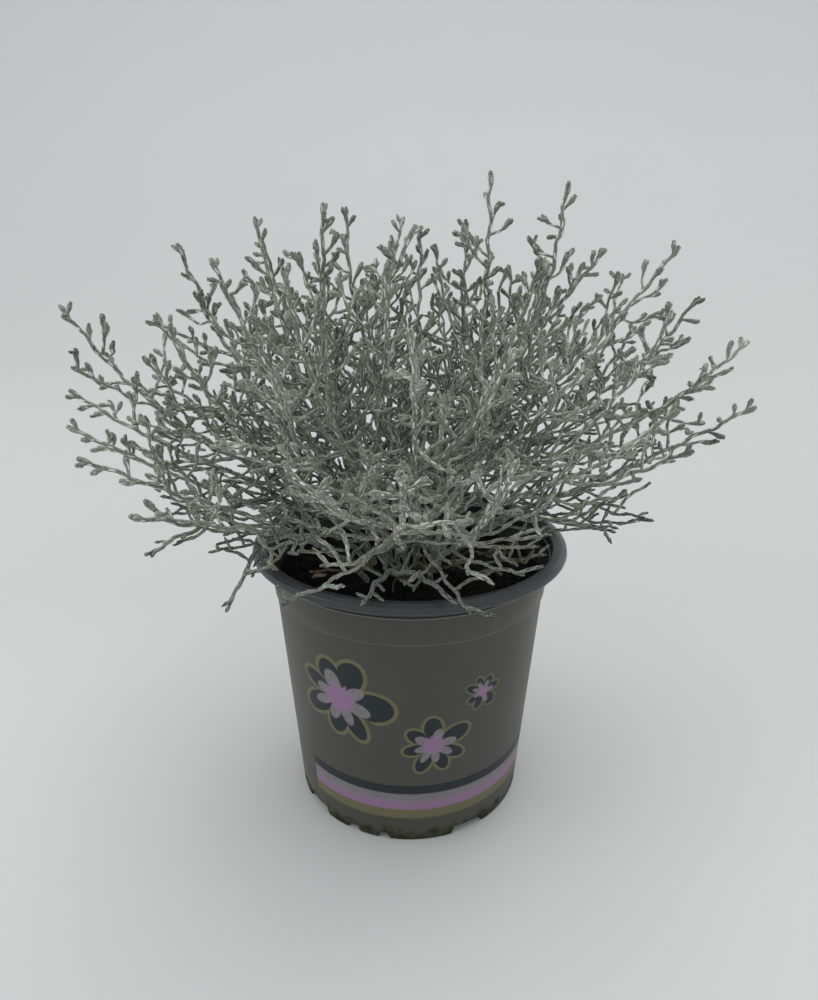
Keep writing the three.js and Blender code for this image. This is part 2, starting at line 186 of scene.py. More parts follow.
def addLamp(name, place, size, watts):
    lamp = bpy.data.objects.new(name, bpy.data.lights.new(name, "AREA"))
    lamp.data.shape = "RECTANGLE"
    lamp.data.size, lamp.data.size_y = size
    lamp.data.energy = watts
    lamp.location = Vector(place)
    lamp.rotation_euler = (Vector((0, 0, 0.1)) - lamp.location).to_track_quat("-Z", "Y").to_euler()
    bpy.context.collection.objects.link(lamp)


def setLights():
    addLamp("softboxAbove", (0.17, 0.5, 3.0), (3.7, 3.0), shot["keyWatts"])
    addLamp("softboxLeft", (-1.2, -0.3, 0.8), (0.9, 0.9), shot["fillWatts"])
    addLamp("softboxBack", (1.8, 3.0, 2.5), (2.8, 2.0), shot["backWatts"])
    world = bpy.data.worlds.new("studio")
    world.use_nodes = True
    tree = world.node_tree
    fill(tree, tree.nodes["Background"], {0: (0.97, 0.98, 1.0, 1), 1: shot["skyStrength"]})
    bpy.context.scene.world = world
    bpy.context.scene.view_settings.view_transform = "Standard"


def paperMaterial():
    mat, tree, shader = nodeTree("paper")
    place = objectPlace(tree)
    axes = addNode(tree, "ShaderNodeSeparateXYZ", {0: place}).outputs
    # Painted light and shade: the sheet darkens behind the pot and turns a little lighter up the wall.
    shadeFar, high = remap(tree, axes[1], *shot["fade"]), remap(tree, axes[2], 0.0, shot["wallHeight"])
    colour = tint(tree, shadeFar, opaque(shot["paper"]), opaque(shot["paperFarShade"]))
    colour = tint(tree, high, colour, opaque(shot["wall"]))
    grain = tint(tree, noiseOf(tree, place, 6.0), (0.98, 0.98, 0.98, 1), (1, 1, 1, 1))
    fill(tree, shader, {"Base Color": tint(tree, 1.0, colour, grain, "MULTIPLY"), "Roughness": 0.8})
    bump(tree, shader, noiseOf(tree, place, 900.0), 0.05, 0.1)
    return mat


def layPaper():
    size, depth = shot["paperSize"], shot["paperDepth"]
    bm = bmesh.new()
    bmesh.ops.create_grid(bm, x_segments=1, y_segments=1, size=size)
    bmesh.ops.translate(bm, verts=bm.verts, vec=(0, depth - size, 0))
    back = [e for e in bm.edges if all(v.co.y > depth - 0.1 for v in e.verts)]
    bmesh.ops.spin(bm, geom=back, axis=(1, 0, 0), cent=(0, depth, shot["paperCurve"]),
                   angle=math.radians(88), steps=48)
    bmesh.ops.recalc_face_normals(bm, faces=bm.faces)
    finishPiece(bm, "paper", paperMaterial())


setCamera()
setLights()
layPaper()
print("camera, lights and paper set")


# The pot

pot = {
    "height": 93.0,
    "rimRadius": 52.5,
    "rimInner": 47.6,
    "collarRadius": 45.4,
    "collarHeight": 16.5,
    "footRadius": 39.7,
    "wall": 1.1,
    "floorHeight": 3.6,
    "footRing": 4.6,
    "gaps": (-143, -60, 39, 120),  # bearings of the wide gaps in the foot
    "gapWidth": 11.2,
    "gapRise": 3.0,
    "nicks": (-118, -102, -10, 62, 78, 170),
    "nickWidth": 3.6,
    "nickRise": 2.0,
    "drains": 5,
    "drainRadius": 3.0,
    "drainCircle": 22.0,
    "steps": 240,
    "sharpest": 38,  # edges that turn by more than this many degrees stay sharp
    "printTop": 85.7,
    "printEdge": -140.4,  # bearing of the edge where the printed film starts
    "taupe": (0.055, 0.055, 0.045),
    "slate": (0.036, 0.040, 0.042),
    "seamAndHighlight": (0.20, 0.20, 0.18),
    "navy": (0.008, 0.015, 0.020),
    "lilac": (0.185, 0.175, 0.19),
    "pink": (0.245, 0.145, 0.25),
    "olive": (0.125, 0.12, 0.062),
    "gloss": 0.36,
}

# Stripes round the foot, from the lowest up: height of the lower edge, width, colour, softness.
stripes = [
    (9.7, 4.2, "olive", 0.35),
    (13.4, 4.2, "pink", 0.2),
    (16.7, 3.6, "lilac", 0.9),
    (20.1, 3.4, "navy", 0.06),
]

# Printed flowers: each petal's angle, length and half width, dark ones outside and pale ones within.
flowers = [
    {"bearing": -119.3, "height": 53.9, "outline": 1.3, "star": 5.0,
     "petals": [(-5, 17.9, 5.0), (66, 15.2, 4.6), (112, 13.9, 3.9), (156, 14.5, 2.6), (207, 15.6, 3.6),
                (262, 13.5, 3.4), (300, 16.0, 2.9)],
     "hearts": [(-22, 11.1, 2.3), (28, 9.6, 2.2), (112, 10.2, 2.7), (163, 8.9, 1.9), (202, 10.6, 1.8),
                (250, 9.1, 2.0), (292, 10.0, 1.9)]},
    {"bearing": -79.6, "height": 39.5, "outline": 0.95, "star": 3.3,
     "petals": [(27, 12.3, 2.9), (94, 10.6, 2.8), (146, 9.9, 2.3), (194, 9.8, 1.9), (244, 11.2, 2.3),
                (292, 10.4, 2.1), (332, 10.8, 2.1)],
     "hearts": [(11, 7.3, 1.5), (73, 6.4, 1.6), (151, 6.7, 1.6), (198, 6.3, 1.3), (238, 7.5, 1.2),
                (277, 6.8, 1.4), (326, 7.1, 1.4)]},
    {"bearing": -58.9, "height": 56.2, "outline": 0.55, "star": 1.9,
     "petals": [(14, 5.9, 1.3), (63, 5.7, 1.4), (111, 5.8, 1.2), (154, 6.6, 1.3), (208, 5.9, 1.2),
                (247, 6.3, 1.2), (306, 6.6, 2.0)],
     "hearts": [(5, 3.9, 0.8), (65, 4.0, 0.8), (118, 4.1, 0.8), (156, 4.2, 0.7), (197, 3.6, 0.7),
                (288, 4.5, 0.9)]},
]


def wallRadius(z):
    step = pot["height"] - pot["collarHeight"]
    return pot["footRadius"] + (pot["collarRadius"] - pot["footRadius"]) * z / step


def potProfile():
    p = pot
    step, top, inside = p["height"] - p["collarHeight"], p["height"], p["footRadius"] - p["footRing"]
    collar, rim, bore = p["collarRadius"], p["rimRadius"], p["rimInner"]
    wall, floor = p["wall"], p["floorHeight"]
    outer = [(0, floor), (inside - 1.2, floor), (inside - 0.6, floor - 0.2), (inside - 0.2, 0.4)]
    outer += [(inside + 0.2, 0), (p["footRadius"] - 0.5, 0), (p["footRadius"] - 0.1, 0.25)]
    outer += [(wallRadius(z), z) for z in (0.8, 3.2, 3.6, 12, 30, 50, step - 1.5, step - 0.2)]
    outer += [(collar + 0.3, step + 0.05), (collar + 0.5, step + 0.3), (collar + 1.0, step + 5)]
    outer += [(collar + 1.25, top - 7.3), (collar + 1.5, top - 7.1), (collar + 1.5, top - 6.8)]
    outer += [(collar + 1.2, top - 6.6), (collar + 1.45, top - 4.2), (collar + 2.0, top - 3.75)]
    lip = [(rim - 1.6, top - 3.5), (rim - 0.6, top - 3.3), (rim - 0.15, top - 2.95), (rim, top - 2.4)]
    lip += [(rim - 0.2, top - 1.4), (rim - 0.5, top - 0.9), (rim - 0.9, top - 0.75), (rim - 1.3, top - 0.3)]
    lip += [(rim - 2.0, top), (rim - 3.2, top - 0.05)]
    lip += [(bore + 1.5, top - 0.25), (bore + 0.6, top - 0.7), (bore + 0.1, top - 1.3)]
    inner = [(bore - 0.1, top - 2.4), (collar + 0.6 - wall, step + 0.4), (collar + 0.4 - wall, step)]
    inner += [(collar - wall, step - 0.8), (wallRadius(6) - wall, 6)]
    inner += [(wallRadius(floor) - wall - 1, floor + wall)]
    return outer + lip + inner + [(0, floor + wall)]


def footRise(bearing):
    arc = math.degrees(1 / pot["footRadius"])

    def isIn(places, width):
        return any(abs((bearing - place + 180) % 360 - 180) < width / 2 * arc for place in places)
    if isIn(pot["gaps"], pot["gapWidth"]):
        return pot["gapRise"]
    return pot["nickRise"] if isIn(pot["nicks"], pot["nickWidth"]) else 0


def spinProfile(profile, steps):
    bm = bmesh.new()
    chain = [bm.verts.new((r * mm, 0, z * mm)) for r, z in profile]
    for a, b in zip(chain, chain[1:]):
        bm.edges.new((a, b))
    bmesh.ops.spin(bm, geom=bm.verts[:] + bm.edges[:], axis=(0, 0, 1), cent=(0, 0, 0),
                   angle=math.tau, steps=steps, use_merge=True)
    bmesh.ops.remove_doubles(bm, verts=bm.verts[:], dist=1e-6)
    bmesh.ops.recalc_face_normals(bm, faces=bm.faces[:])
    return bm


def drillDrains(piece):
    bm = bmesh.new()
    radius, height = pot["drainRadius"] * mm, pot["floorHeight"] * mm
    for k in range(pot["drains"] + 1):
        bearing = math.tau * k / pot["drains"]
        out = 0 if k == pot["drains"] else pot["drainCircle"] * mm
        place = Matrix.Translation((out * math.cos(bearing), out * math.sin(bearing), height))
        bmesh.ops.create_cone(bm, cap_ends=True, segments=24, radius1=radius, radius2=radius,
                              depth=8 * mm, matrix=place)
    drills = finishPiece(bm, "drills", piece.data.materials[0])
    cut = piece.modifiers.new("drains", "BOOLEAN")
    cut.object = drills
    cut.operation = "DIFFERENCE"
    cut.solver = "EXACT"
    piece.data = evaluatedMesh(piece)
    piece.modifiers.clear()
    bpy.data.objects.remove(drills)


def buildPot():
    bm = spinProfile(potProfile(), pot["steps"])
    inside = (pot["footRadius"] - pot["footRing"]) * mm
    for v in bm.verts:
        if v.co.z < 1.0 * mm and v.co.xy.length > inside - 0.5 * mm:
            v.co.z += footRise(math.degrees(math.atan2(v.co.y, v.co.x))) * mm
    piece = finishPiece(bm, "potShell", potMaterial())
    drillDrains(piece)
    piece.data.shade_smooth()
    sharpenBy(piece, pot["sharpest"])
    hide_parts("pot")
    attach(piece, "root")


def sharpenBy(piece, angle):
    bm = bmesh.new()
    bm.from_mesh(piece.data)
    for edge in bm.edges:
        edge.smooth = len(edge.link_faces) < 2 or edge.calc_face_angle(0) < math.radians(angle)
    bm.to_mesh(piece.data)
    bm.free()


def within(tree, value, low, high, soft):
    above, below = remap(tree, value, low - soft, low + soft), remap(tree, value, high + soft, high - soft)
    return times(tree, above, below)


# The outer part of each petal is an ellipse, and the pink heart is a star with many short points.
printForm = {
    "middle": 0.62,  # of the ellipse, as a share of the petal's length
    "halfLength": 0.38,
    "longest": 20,  # millimetres that a whole colour channel stands for
    "starPoints": 17.0,
    "starDepth": 0.14,
}


# Which petal of a ring an angle falls to: the angle off its middle, its length and its half width
def petalAt(tree, angle, petals):
    longest = printForm["longest"]
    petals = sorted((place % 360, reach, half) for place, reach, half in petals)
    start = (petals[-1][0] - 360 + petals[0][0]) / 2
    turned = calc(tree, "FRACT", calc(tree, "MULTIPLY_ADD", angle, 1 / math.tau, 1 - start / 360))
    made = addNode(tree, "ShaderNodeValToRGB", {0: turned})
    made.color_ramp.interpolation = "CONSTANT"
    points = made.color_ramp.elements
    while len(points) < len(petals):
        points.new(0.5)
    edge = start
    for point, (place, reach, half), (after, _, _) in zip(points, petals, petals[1:] + petals[:1]):
        point.position = (edge - start) / 360
        point.color = ((place - start) / 360, reach / longest, half / longest, 1)
        edge = (place + after) / 2
    middle, reach, half = addNode(tree, "ShaderNodeSeparateColor", {0: made.outputs[0]}).outputs
    aside = times(tree, calc(tree, "SUBTRACT", turned, middle), math.tau)
    return aside, times(tree, reach, longest), times(tree, half, longest)


# How far inside its petal a point lies, in about millimetres
def insidePetal(tree, out, petal, margin):
    aside, reach, half = petal
    tall = calc(tree, "MULTIPLY_ADD", reach, printForm["halfLength"], margin)
    wide = calc(tree, "ADD", half, margin)
    along = times(tree, out, calc(tree, "COSINE", aside))
    along = calc(tree, "DIVIDE", calc(tree, "MULTIPLY_ADD", reach, -printForm["middle"], along), tall)
    across = calc(tree, "DIVIDE", times(tree, out, calc(tree, "SINE", aside)), wide)
    return times(tree, calc(tree, "SUBTRACT", 1, lengthOver(tree, along, across)), wide)


# The lilac ink is a little grainy, and the others are even.
def printInk(tree, mask, colour, name, grain):
    if name == "lilac":
        mask = times(tree, mask, grain)
    return tint(tree, mask, colour, opaque(pot[name]))


def printFlower(tree, colour, flower, bearing, up, grain):
    across = calc(tree, "SUBTRACT", bearing, math.radians(flower["bearing"]))
    across = times(tree, across, wallRadius(flower["height"]))
    along = calc(tree, "SUBTRACT", up, flower["height"])
    out, angle = lengthOver(tree, across, along), calc(tree, "ARCTAN2", along, across)
    petal, heart = petalAt(tree, angle, flower["petals"]), petalAt(tree, angle, flower["hearts"])
    star = calc(tree, "COSINE", times(tree, angle, printForm["starPoints"]))
    star = calc(tree, "MULTIPLY_ADD", star, flower["star"] * printForm["starDepth"], flower["star"])
    layers = [(insidePetal(tree, out, petal, flower["outline"]), "olive", 0.12),
              (insidePetal(tree, out, petal, 0), "navy", 0.1),
              (insidePetal(tree, out, heart, 0), "lilac", 0.12),
              (calc(tree, "SUBTRACT", star, out), "pink", 0.1 * flower["star"])]
    for inside, name, soft in layers:
        colour = printInk(tree, remap(tree, inside, -soft, soft), colour, name, grain)
    return colour


def printFilm(tree, colour, bearing, up, grain):
    isWrapped = calc(tree, "GREATER_THAN", bearing, math.radians(pot["printEdge"]))
    for low, width, name, soft in stripes:
        mask = times(tree, within(tree, up, low, low + width, soft), isWrapped)
        colour = printInk(tree, mask, colour, name, grain)
    for flower in flowers:
        colour = printFlower(tree, colour, flower, bearing, up, grain)
    return colour


# Pale lines on the outside: where the film ends and at the step, and a painted highlight along the lower edge
# of the rim's lip
def seamLinesAndHighlight(tree, colour, up, isOutside):
    step = pot["height"] - pot["collarHeight"]
    # The last line, just under the rim's lip, is a painted highlight on the lip's lower edge.
    for height, strength in ((pot["printTop"], 0.8), (step + 0.25, 0.5), (pot["height"] - 2.9, 0.25)):
        line = times(tree, within(tree, up, height - 0.16, height + 0.16, 0.12), strength)
        colour = tint(tree, times(tree, line, isOutside), colour, opaque(pot["seamAndHighlight"]))
    return colour


# Earth and algae that cling to the foot
def footDirt(tree, place, up):
    reach = remap(tree, up, 7.0, 0.2)
    patches = noiseOf(tree, place, 210.0, 5.0, 0.65)
    dirt = remap(tree, calc(tree, "MULTIPLY_ADD", reach, 0.42, patches), 0.62, 0.80)
    dirt = times(tree, dirt, remap(tree, reach, 0.0, 0.3))
    moss = ramp(tree, noiseOf(tree, place, 330.0, 4.0), (0.38, (0.010, 0.010, 0.005)),
                (0.52, (0.022, 0.024, 0.008)), (0.68, (0.052, 0.060, 0.010)))
    return dirt, moss


def potMaterial():
    mat, tree, shader = nodeTree("printedPlastic")
    place = objectPlace(tree)
    axes = addNode(tree, "ShaderNodeSeparateXYZ", {0: place}).outputs
    up = times(tree, axes[2], 1 / mm)
    out = times(tree, lengthOver(tree, axes[0], axes[1]), 1 / mm)
    bearing = calc(tree, "ARCTAN2", axes[1], axes[0])
    cloud, fine = noiseOf(tree, place, 35.0), noiseOf(tree, place, 1400.0, 2.0)
    colour = tint(tree, cloud, opaque(pot["taupe"], 0.88), opaque(pot["taupe"], 1.1))
    colour = printFilm(tree, colour, bearing, up, remap(tree, fine, 0.36, 0.52, 0.72, 1.0))

    # Bare slate plastic on the rim, inside and underneath
    slope = (pot["collarRadius"] - pot["footRadius"]) / (pot["height"] - pot["collarHeight"])
    wallHere = calc(tree, "MULTIPLY_ADD", up, slope, pot["footRadius"] - 0.45)
    isAbove = calc(tree, "GREATER_THAN", up, pot["printTop"])
    bare = calc(tree, "MAXIMUM", calc(tree, "LESS_THAN", out, wallHere), isAbove)
    slate = tint(tree, cloud, opaque(pot["slate"], 0.85), opaque(pot["slate"], 1.2))
    colour = tint(tree, bare, colour, slate)
    colour = seamLinesAndHighlight(tree, colour, up, calc(tree, "GREATER_THAN", out, wallHere))

    dirt, moss = footDirt(tree, place, up)
    rough = calc(tree, "MULTIPLY_ADD", bare, -0.1, remap(tree, cloud, 0.3, 0.7, 0.36, 0.48))
    fill(tree, shader, {
        "Base Color": tint(tree, times(tree, dirt, 0.92), colour, moss),
        "Roughness": calc(tree, "ADD", rough, times(tree, dirt, 0.4)),
        "Specular IOR Level": pot["gloss"],
    })
    bump(tree, shader, calc(tree, "ADD", fine, times(tree, dirt, 3.0)), 0.12, 0.15)
    return mat


buildPot()
print("pot built")


# The soil

soil = {
    "level": 80.5,
    "mound": 2.5,
    "gap": 0.3,
    "ringStep": 1.3,
    "steps": 150,
    "crumbs": 1500,
    "smallest": 0.5,
    "largest": 1.7,
    "roughness": 0.9,
    "black": (0.0012, 0.001, 0.0009),
    "brown": (0.0042, 0.0034, 0.0027),
    "bark": (0.016, 0.011, 0.007),
    "seed": 12,
}


def soilHeight(x, y):
    out = math.hypot(x, y) / pot["collarRadius"]
    lumps = 0.45 * math.sin(x * 0.31 + 1) * math.cos(y * 0.27) + 0.3 * math.sin(x * 0.13 - y * 0.49)
    return soil["level"] + soil["mound"] * (1 - out * out) + lumps


def soilMaterial():
    mat, tree, shader = nodeTree("darkPeat")
    place = objectPlace(tree)
    coarse = noiseOf(tree, place, 420.0, 6.0, 0.7)
    fine = noiseOf(tree, place, 1500.0, 4.0, 0.6)
    colour = ramp(tree, coarse, (0.3, soil["black"]), (0.6, soil["brown"]), (0.85, soil["bark"]))
    fill(tree, shader, {"Base Color": colour, "Roughness": soil["roughness"], "Specular IOR Level": 0.2})
    bump(tree, shader, calc(tree, "ADD", coarse, fine), 0.9, 0.6)
    return mat


def soilProfile(edge):
    collar, gap = pot["collarRadius"], pot["wall"] + soil["gap"]
    bottom = pot["floorHeight"] + gap
    rings = [edge * 0.985 - k * soil["ringStep"] for k in range(int(edge / soil["ringStep"]))]
    profile = [(0, bottom), (wallRadius(bottom) - gap - 2.2, bottom)]
    profile += [(wallRadius(bottom + 3) - gap - 0.3, bottom + 3)]
    profile += [(collar - gap, pot["height"] - pot["collarHeight"] - 1.4), (edge, soil["level"] - 1.5)]
    return profile + [(r, soil["level"]) for r in rings] + [(0, soil["level"])]


def scatterCrumbs(bm, edge):
    rng = np.random.default_rng(soil["seed"])
    for _ in range(soil["crumbs"]):
        out = edge * 0.97 * math.sqrt(rng.random())
        turn = math.tau * rng.random()
        x, y = out * math.cos(turn), out * math.sin(turn)
        size = soil["smallest"] + (soil["largest"] - soil["smallest"]) * rng.random() ** 2.5
        shape = (1 + 0.6 * rng.random(), 0.8 + 0.3 * rng.random(), 0.6 + 0.3 * rng.random(), 1)
        place = Matrix.Translation((x * mm, y * mm, (soilHeight(x, y) + 0.1 * size) * mm))
        spinning = Matrix.Rotation(math.tau * rng.random(), 4, "Z") @ Matrix.Rotation(rng.random(), 4, "X")
        bmesh.ops.create_icosphere(bm, subdivisions=1, radius=size / 2 * mm,
                                   matrix=place @ spinning @ Matrix.Diagonal(shape))


def buildSoil():
    edge = pot["collarRadius"] + 0.6 - (pot["wall"] + soil["gap"])
    bm = spinProfile(soilProfile(edge), soil["steps"])
    for v in bm.verts:
        if v.co.z > (soil["level"] - 0.1) * mm:
            x, y = v.co.x / mm, v.co.y / mm
            rough = 0.9 * noise.fractal((x * 0.35, y * 0.35, 3.1), 0.6, 2.1, 5)
            v.co.z = (soilHeight(x, y) + rough) * mm
    scatterCrumbs(bm, edge)
    piece = finishPiece(bm, "peat", soilMaterial())
    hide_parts("soil")
    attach(piece, "root")


buildSoil()
print("soil built")


# The bush. It grows by the same rules and numbers as the solids, in millimetres, so that every
# stem lies where its solid does. Finer shoots and twiglets are then grown between those.

bush = {
    "crownHeight": 84.0,
    "rootSpread": 19.0,
    "leaderRadius": 1.35,
    "deadRadius": 1.0,
    "limbTipRadius": 0.85,
    "shootRadius": 0.9,
    "twigletRadius": 0.8,
    "clubRadius": 1.2,
    "buried": 7.0,
    "holeClearance": 0.5,
    "twigGap": 0.4,
    "rootSpacing": 5.0,
    "rootTries": 40,
    "limbStep": 22.0,
    "limbHandles": (0.13, 0.65),  # of a limb's curve, as shares of its length
    "wobble": 2.4,
    "limbReach": 117.0,
    "nearTrim": 9.0,  # how much shorter the limbs towards the camera are
    "reachWave": 8.0,
    "wavePace": 2.4,
    "rightReach": 80.0,
    "rightRise": 45.0,
    "frontRise": 30.0,
    "limbSpacing": 11.5,
    "forkAngle": 0.75,  # radians
    "flattest": 20.0,
    "droop": 0.42,
    "upturn": 0.16,
    "lowestRise": 20.0,
    "domePoints": 120,
    "leaders": 36,
    "bareShare": 0.3,
    "shootSpacing": 23.0,
    "shootShare": 0.5,
    "shortestShoot": 4.5,
    "longestShoot": 36.0,
    "steepestFall": -0.3,
    "longestStraight": 12.0,
    "shortestTwiglet": 3.5,
    "shortestHost": 9.0,
    "twigletSpacing": 15.0,
    "firstSeed": 4711,
    "goldenAngle": 137.508,
    "round": 6.28,  # a whole turn in radians, cut short as it is for the solids
    "spreadX": 109.5,
    "spreadY": 99.0,
    "inset": 1.5,  # how far inside that box the limbs end
    "top": 207.0,
    "lowestTwig": 72.0,
    "coneRise": 0.24,
}

# Limbs of the outline, and dead twigs: bearing, rise and reach from the crown.
outline = [
    (180, 38, 136), (176, 55, 124), (-177, 29, 121), (-166, 27, 114), (163, 65, 121),
    (148, 60, 119), (122, 70, 121), (80, 80, 108), (23, 78, 125), (62, 70, 117),
    (17, 67, 130), (19, 56, 121), (8, 50, 132), (6, 43, 126), (0, 35, 128),
    (-4, 27, 120), (-14, 27, 97), (-140, 2, 68), (-155, 11, 86),
    (-103, 11, 58), (-77, 11, 57), (-91, 32, 114),
]
dead = [(-50, 17, 54), (-63, 15, 50), (-126, 15, 50)]


def plus(a, b, scale=1.0):
    return (a[0] + b[0] * scale, a[1] + b[1] * scale, a[2] + b[2] * scale)


def minus(a, b):
    return (a[0] - b[0], a[1] - b[1], a[2] - b[2])


def dot(a, b):
    return a[0] * b[0] + a[1] * b[1] + a[2] * b[2]


def cross(a, b):
    return (a[1] * b[2] - a[2] * b[1], a[2] * b[0] - a[0] * b[2], a[0] * b[1] - a[1] * b[0])


def unit(a):
    size = math.sqrt(dot(a, a))
    return (a[0] / size, a[1] / size, a[2] / size)


def clamp(value, low, high):
    return max(low, min(high, value))


def direction(bearing, rise):
    b, r = math.radians(bearing), math.radians(rise)
    return (math.cos(r) * math.cos(b), math.cos(r) * math.sin(b), math.sin(r))


# Draws the same numbers as the source does, so that the same plant grows
def randomFrom(seed):
    state = [seed * 7919 % 2147483647]

    def draw():
        state[0] = state[0] * 16807 % 2147483647
        return state[0] / 2147483647
    return draw


# The least distance between two straight stretches
def gapBetween(a0, a1, b0, b1):
    d1, d2, r = minus(a1, a0), minus(b1, b0), minus(a0, b0)
    a, e, f, c, b = dot(d1, d1), dot(d2, d2), dot(d2, r), dot(d1, r), dot(d1, d2)
    flat = a * e - b * b
    s = clamp((b * f - c * e) / flat, 0, 1) if flat > 1e-9 else 0
    t = (b * s + f) / e
    if t < 0:
        t, s = 0, clamp(-c / a, 0, 1)
    elif t > 1:
        t, s = 1, clamp((b - c) / a, 0, 1)
    return math.dist(plus(a0, d1, s), plus(b0, d2, t))


# The stretches of all twigs, sorted into cells, so that a new twig is tested against its neighbours only
class Thicket:
    cell = 10.0
    margin = 2

    def __init__(self):
        self.cells = {}

    def keys(self, a, b):
        low = [math.floor((min(p, q) - self.margin) / self.cell) for p, q in zip(a, b)]
        high = [math.floor((max(p, q) + self.margin) / self.cell) for p, q in zip(a, b)]
        return [(x, y, z) for x in range(low[0], high[0] + 1) for y in range(low[1], high[1] + 1)
                for z in range(low[2], high[2] + 1)]

    def add(self, twig):
        for a, b in zip(twig["points"], twig["points"][1:]):
            for key in self.keys(a, b):
                self.cells.setdefault(key, []).append((a, b, twig))

    def hasRoomFor(self, twig, parent, gap=None):
        gap = bush["twigGap"] if gap is None else gap
        for a, b in zip(twig["points"], twig["points"][1:]):
            for key in self.keys(a, b):
                for c, d, other in self.cells.get(key, ()):
                    need = twig["thickest"] + other["thickest"] + gap
                    if other is not parent and gapBetween(a, b, c, d) < need:
                        return False
        return True


def isOpenAir(point):
    out = math.hypot(point[0], point[1])
    if abs(point[0]) > bush["spreadX"] or abs(point[1]) > bush["spreadY"] or point[2] > bush["top"]:
        return False
    if out < pot["collarRadius"] - 3:
        return point[2] > soilHeight(point[0], point[1]) + 1.8
    return point[2] > (pot["height"] + 2 if out < pot["rimRadius"] + 3 else bush["lowestTwig"])


def isOpenPath(points):
    return all(isOpenAir(plus(a, minus(b, a), t)) for a, b in zip(points, points[1:])
               for t in (0.25, 0.5, 0.75, 1))


# The finer growth also stays above a cone that rises outwards from the rim.
def isAboveCone(points):
    def coneHeight(out):
        return pot["height"] + 1 + bush["coneRise"] * (out - pot["rimRadius"])
    return all(z > coneHeight(math.hypot(x, y)) for x, y, z in points)


def makeTwig(leader, points, startRadius, endRadius, level):
    return {"leader": leader, "points": points, "start": startRadius, "end": endRadius,
            "thickest": max(startRadius, endRadius), "level": level, "parent": None, "at": 0.0}


def limbPoints(start, bearing, rise, reach, arch, random):
    tip = plus((0, 0, bush["crownHeight"]), direction(bearing, rise), reach)
    chord = minus(tip, start)
    length = math.sqrt(dot(chord, chord))
    lift = unit(cross(chord, direction(bearing + 90, 0)))
    lift = tuple(-arch * length * c for c in lift)
    if lift[2] * arch < 0:
        lift = tuple(-c for c in lift)
    low, high = bush["limbHandles"]
    first = plus(start, (0, 0, 1), low * length)
    second = plus(plus(start, chord, high), lift)
    steps = max(4, int(length / bush["limbStep"] + 0.5))
    points = []
    for i in range(steps + 1):
        t = i / steps
        k = 1 - t
        weights = (k * k * k, 3 * k * k * t, 3 * k * t * t, t * t * t)
        point = tuple(sum(w * p[c] for w, p in zip(weights, (start, first, second, tip))) for c in range(3))
        shift = tuple((random() - 0.5) * bush["wobble"] for _ in range(3))
        points.append(point if i in (0, steps) else plus(point, shift))
    return points


def archFor(rise):
    if rise < bush["flattest"]:
        return bush["droop"] * (1 - rise / bush["flattest"])
    return -bush["upturn"] * min(1, (rise - bush["flattest"]) / 15)


def findRoots(bearing, rise, taken, random):
    places = []
    for k in range(bush["rootTries"]):
        turn = (random() - 0.5) * (20 + 5 * k)
        out = bush["rootSpread"] * (0.2 + 0.8 * (1 - rise / 90)) + (random() - 0.5) * (2 + 0.4 * k)
        side = direction(bearing + turn, 0)
        place = (side[0] * max(0, out), side[1] * max(0, out))
        if all(math.hypot(r["x"] - place[0], r["y"] - place[1]) > bush["rootSpacing"] for r in taken):
            places.append(place)
    return places


def growLeader(thicket, leaders, bearing, rise, reach, seed, radius):
    random = randomFrom(seed)
    for k, (x, y) in enumerate(findRoots(bearing, rise, leaders, random)):
        ground = soilHeight(x, y)
        arch = archFor(rise) + 0.006 * k + 0.04 * random()
        points = limbPoints((x, y, ground + 2), bearing, rise, reach, arch, random)
        if not isOpenPath(points):
            continue
        foot = (x, y, ground - bush["buried"] + bush["holeClearance"])
        twig = makeTwig(None, [foot] + points, radius, bush["limbTipRadius"], 0)
        if not thicket.hasRoomFor(twig, None):
            continue
        leader = {"x": x, "y": y, "seed": seed, "twigs": [twig], "limbs": [twig], "dead": False}
        twig.update(leader=leader, bearing=bearing, rise=rise)
        thicket.add(twig)
        return leader
    return None


def growFork(thicket, leader, bearing, rise, reach):
    parent = leader["limbs"][0]
    random = randomFrom(leader["seed"] + 7 * len(leader["limbs"]))
    last = len(parent["points"]) - 1
    for k in range(2, 5):
        points = limbPoints(parent["points"][k], bearing, rise, reach, archFor(rise) * 0.6, random)
        if not isOpenPath(points):
            continue
        radius = (parent["start"] + (parent["end"] - parent["start"]) * k / last) * 0.9
        twig = makeTwig(leader, points, radius, bush["limbTipRadius"], 0)
        if not thicket.hasRoomFor(twig, parent):
            continue
        reached = sum(math.dist(a, b) for a, b in zip(parent["points"][:k], parent["points"][1:k + 1]))
        twig.update(bearing=bearing, rise=rise, parent=parent, at=reached)
        thicket.add(twig)
        leader["twigs"].append(twig)
        leader["limbs"].append(twig)
        return True
    return False


def angleBetween(a, b):
    return math.acos(clamp(dot(a, b), -1, 1))


# Where the limbs point: first the outline's, then those that fill the dome evenly between them
def limbAims():
    aims = list(outline)
    for k in range(bush["domePoints"]):
        height = 1 - (k + 0.5) / bush["domePoints"] * (1 - math.sin(math.radians(bush["lowestRise"])))
        rise = math.degrees(math.asin(height))
        bearing = (k * bush["goldenAngle"] + 180) % 360 - 180
        toCamera = max(0, -math.sin(math.radians(bearing))) * math.cos(math.radians(rise))
        here = direction(bearing, rise)
        widest = bush["rightReach"] if here[0] > 0 else bush["spreadX"] - bush["inset"]
        deepest = bush["spreadY"] - bush["inset"]
        sideways = min(widest / max(abs(here[0]), 1e-9), deepest / max(abs(here[1]), 1e-9))
        wave = bush["reachWave"] * math.sin(k * bush["wavePace"])
        reach = min(bush["limbReach"] - bush["nearTrim"] * toCamera + wave, sideways)
        isClear = all(angleBetween(direction(b, r), here) > math.radians(bush["limbSpacing"])
                      for b, r, _ in aims)
        if rise > max(bush["rightRise"] * here[0], -bush["frontRise"] * here[1]) and isClear:
            aims.append((bearing, rise, reach))
    return aims


